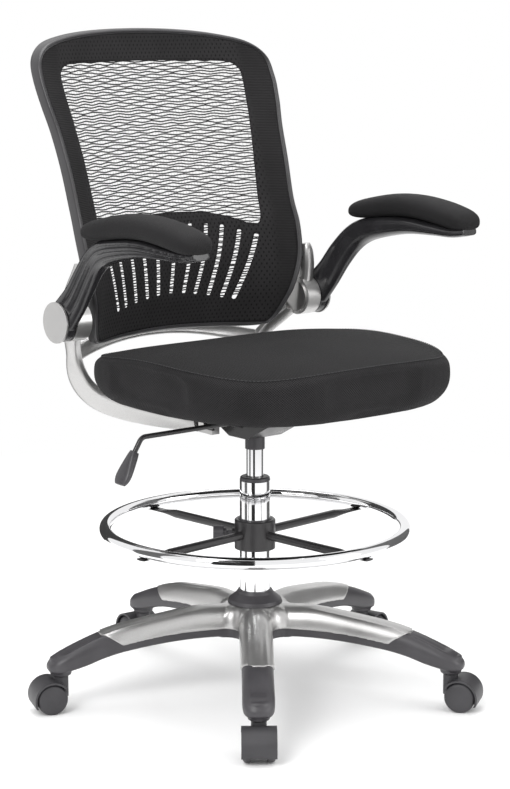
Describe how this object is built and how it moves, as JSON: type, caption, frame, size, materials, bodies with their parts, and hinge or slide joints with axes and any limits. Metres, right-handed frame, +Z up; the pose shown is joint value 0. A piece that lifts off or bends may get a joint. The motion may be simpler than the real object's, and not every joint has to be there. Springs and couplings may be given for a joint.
{
  "type": "drafting chair",
  "caption": "Tall swivel drafting chair with a woven mesh back, padded seat, flip-up padded arms, a footring on the column and a silver star base on casters.",
  "frame": {"origin": "on the floor under the column axis", "axes": "+Z up along the column, the sitter faces -Y, the right-hand side of the sitter is -X"},
  "size_m": [0.736, 0.7119, 1.0813],
  "materials": {
    "black_nylon": "moulded, fine spark texture",
    "silver_paint": "satin silver paint on moulded nylon",
    "silver_bar": "satin silver paint on cast bars",
    "chrome_plate": "mirror",
    "black_steel": "semi-gloss powder coat",
    "bright_steel": "turned",
    "black_rubber": "matt tread",
    "seat_fabric": "ribbed and spacer mesh",
    "arm_fabric": "spacer mesh",
    "back_fabric": "open woven mesh",
    "plywood": "plain",
    "grip_plastic": "soft sheen"
  },
  "bodies": {
    "base": {"base_star": "black_nylon", "base_cover": "silver_paint", "base_collar": "black_nylon", "column_tube": "chrome_plate", "column_collar": "chrome_plate", "guide_bush": "black_nylon", "column_clip": "bright_steel"},
    "spindle": {"piston_rod": "bright_steel", "thrust_bearing": "bright_steel"},
    "lift": {"gas_cylinder": "chrome_plate", "cylinder_sleeve": "black_nylon", "tilt_housing": "black_steel", "tilt_spring": "bright_steel"},
    "valve": {"gas_button": "bright_steel"},
    "rocker": {"lever_rocker": "black_steel"},
    "lever": {"lever_rod": "black_steel", "lever_paddle": "grip_plastic"},
    "seat": {"seat_plate": "black_steel", "tilt_pin": "bright_steel", "seat_screws": "bright_steel", "seat_pan": "plywood", "seat_cushion": "seat_fabric", "side_bar_left": "silver_bar", "side_bar_right": "silver_bar", "bar_bolts": "bright_steel", "back_brace": "silver_bar", "back_frame": "black_nylon", "back_mesh": "back_fabric", "arm_pins": "silver_bar"},
    "arm_left": {"arm_frame_left": "black_nylon", "arm_pad_left": "arm_fabric", "arm_cap_left": "silver_paint"},
    "arm_right": {"arm_frame_right": "black_nylon", "arm_pad_right": "arm_fabric", "arm_cap_right": "silver_paint"},
    "ring_slider": {"footring_bush": "black_nylon"},
    "footring": {"footring_hub": "black_nylon", "footring_tube": "chrome_plate", "footring_spokes": "black_steel"},
    "ring_knob": {"clamp_knob": "grip_plastic"},
    "caster_1": {"caster_hood_1": "black_nylon", "caster_pins_1": "bright_steel"},
    "wheel_1a": {"caster_wheel_1a": "black_rubber"},
    "wheel_1b": {"caster_wheel_1b": "black_rubber"},
    "caster_2": {"caster_hood_2": "black_nylon", "caster_pins_2": "bright_steel"},
    "wheel_2a": {"caster_wheel_2a": "black_rubber"},
    "wheel_2b": {"caster_wheel_2b": "black_rubber"},
    "caster_3": {"caster_hood_3": "black_nylon", "caster_pins_3": "bright_steel"},
    "wheel_3a": {"caster_wheel_3a": "black_rubber"},
    "wheel_3b": {"caster_wheel_3b": "black_rubber"},
    "caster_4": {"caster_hood_4": "black_nylon", "caster_pins_4": "bright_steel"},
    "wheel_4a": {"caster_wheel_4a": "black_rubber"},
    "wheel_4b": {"caster_wheel_4b": "black_rubber"},
    "caster_5": {"caster_hood_5": "black_nylon", "caster_pins_5": "bright_steel"},
    "wheel_5a": {"caster_wheel_5a": "black_rubber"},
    "wheel_5b": {"caster_wheel_5b": "black_rubber"}
  },
  "joints": [
    {"name": "caster_1_swivel", "type": "hinge", "parent": "base", "child": "caster_1", "pos_m": [-0.20768, -0.25646, 0.06], "axis": [0, 0, 1], "continuous": true},
    {"name": "wheel_1a_roll", "type": "hinge", "parent": "caster_1", "child": "wheel_1a", "pos_m": [-0.21963, -0.27122, 0.025], "axis": [0.7771, -0.6293, 0], "continuous": true},
    {"name": "wheel_1b_roll", "type": "hinge", "parent": "caster_1", "child": "wheel_1b", "pos_m": [-0.21963, -0.27122, 0.025], "axis": [0.7771, -0.6293, 0], "continuous": true},
    {"name": "caster_2_swivel", "type": "hinge", "parent": "base", "child": "caster_2", "pos_m": [0.17973, -0.27676, 0.06], "axis": [0, 0, 1], "continuous": true},
    {"name": "wheel_2a_roll", "type": "hinge", "parent": "caster_2", "child": "wheel_2a", "pos_m": [0.19008, -0.2927, 0.025], "axis": [0.8387, 0.5446, 0], "continuous": true},
    {"name": "wheel_2b_roll", "type": "hinge", "parent": "caster_2", "child": "wheel_2b", "pos_m": [0.19008, -0.2927, 0.025], "axis": [0.8387, 0.5446, 0], "continuous": true},
    {"name": "caster_3_swivel", "type": "hinge", "parent": "base", "child": "caster_3", "pos_m": [0.31876, 0.08541, 0.06], "axis": [0, 0, 1], "continuous": true},
    {"name": "wheel_3a_roll", "type": "hinge", "parent": "caster_3", "child": "wheel_3a", "pos_m": [0.33711, 0.09033, 0.025], "axis": [-0.2588, 0.9659, 0], "continuous": true},
    {"name": "wheel_3b_roll", "type": "hinge", "parent": "caster_3", "child": "wheel_3b", "pos_m": [0.33711, 0.09033, 0.025], "axis": [-0.2588, 0.9659, 0], "continuous": true},
    {"name": "caster_4_swivel", "type": "hinge", "parent": "base", "child": "caster_4", "pos_m": [0.01727, 0.32955, 0.06], "axis": [0, 0, 1], "continuous": true},
    {"name": "wheel_4a_roll", "type": "hinge", "parent": "caster_4", "child": "wheel_4a", "pos_m": [0.01826, 0.34852, 0.025], "axis": [-0.9986, 0.0523, 0], "continuous": true},
    {"name": "wheel_4b_roll", "type": "hinge", "parent": "caster_4", "child": "wheel_4b", "pos_m": [0.01826, 0.34852, 0.025], "axis": [-0.9986, 0.0523, 0], "continuous": true},
    {"name": "caster_5_swivel", "type": "hinge", "parent": "base", "child": "caster_5", "pos_m": [-0.30808, 0.11826, 0.06], "axis": [0, 0, 1], "continuous": true},
    {"name": "wheel_5a_roll", "type": "hinge", "parent": "caster_5", "child": "wheel_5a", "pos_m": [-0.32582, 0.12507, 0.025], "axis": [-0.3584, -0.9336, 0], "continuous": true},
    {"name": "wheel_5b_roll", "type": "hinge", "parent": "caster_5", "child": "wheel_5b", "pos_m": [-0.32582, 0.12507, 0.025], "axis": [-0.3584, -0.9336, 0], "continuous": true},
    {"name": "seat_swivel", "type": "hinge", "parent": "base", "child": "spindle", "pos_m": [0, 0, 0.07], "axis": [0, 0, 1], "continuous": true},
    {"name": "seat_height", "type": "slide", "parent": "spindle", "child": "lift", "axis": [0, 0, 1], "range_m": [-0.035, 0.18]},
    {"name": "valve_press", "type": "slide", "parent": "lift", "child": "valve", "axis": [0, 0, -1], "range_m": [0, 0.003], "stiffness_N_per_m": 1500, "springref_m": -0.002},
    {"name": "lever_lift", "type": "hinge", "parent": "lift", "child": "rocker", "pos_m": [-0.026, -0.005, 0.458], "axis": [0, 1, 0], "range_deg": [0, 5]},
    {"name": "lever_pull", "type": "slide", "parent": "rocker", "child": "lever", "axis": [-1, 0, 0], "range_m": [0, 0.008]},
    {"name": "seat_tilt", "type": "hinge", "parent": "lift", "child": "seat", "pos_m": [0, -0.036, 0.467], "axis": [-1, 0, 0], "range_deg": [0, 10], "stiffness_Nm_per_rad": 150, "springref_deg": -11.46},
    {"name": "arm_left_fold", "type": "hinge", "parent": "seat", "child": "arm_left", "pos_m": [0.267, 0.161, 0.623], "axis": [-1, 0, 0], "range_deg": [0, 90]},
    {"name": "arm_right_fold", "type": "hinge", "parent": "seat", "child": "arm_right", "pos_m": [-0.267, 0.161, 0.623], "axis": [-1, 0, 0], "range_deg": [0, 90]},
    {"name": "footring_height", "type": "slide", "parent": "base", "child": "ring_slider", "axis": [0, 0, 1], "range_m": [-0.065, 0.035]},
    {"name": "footring_turn", "type": "hinge", "parent": "ring_slider", "child": "footring", "pos_m": [0, 0, 0.268], "axis": [0, 0, 1], "continuous": true},
    {"name": "knob_turn", "type": "hinge", "parent": "footring", "child": "ring_knob", "pos_m": [-0.04596, 0.03857, 0.2677], "axis": [-0.766, 0.6428, 0], "range_deg": [0, 360]}
  ],
  "couplings": [
    {"joint": "valve_press", "follows": "lever_lift", "m_per_rad": 0.03}
  ]
}
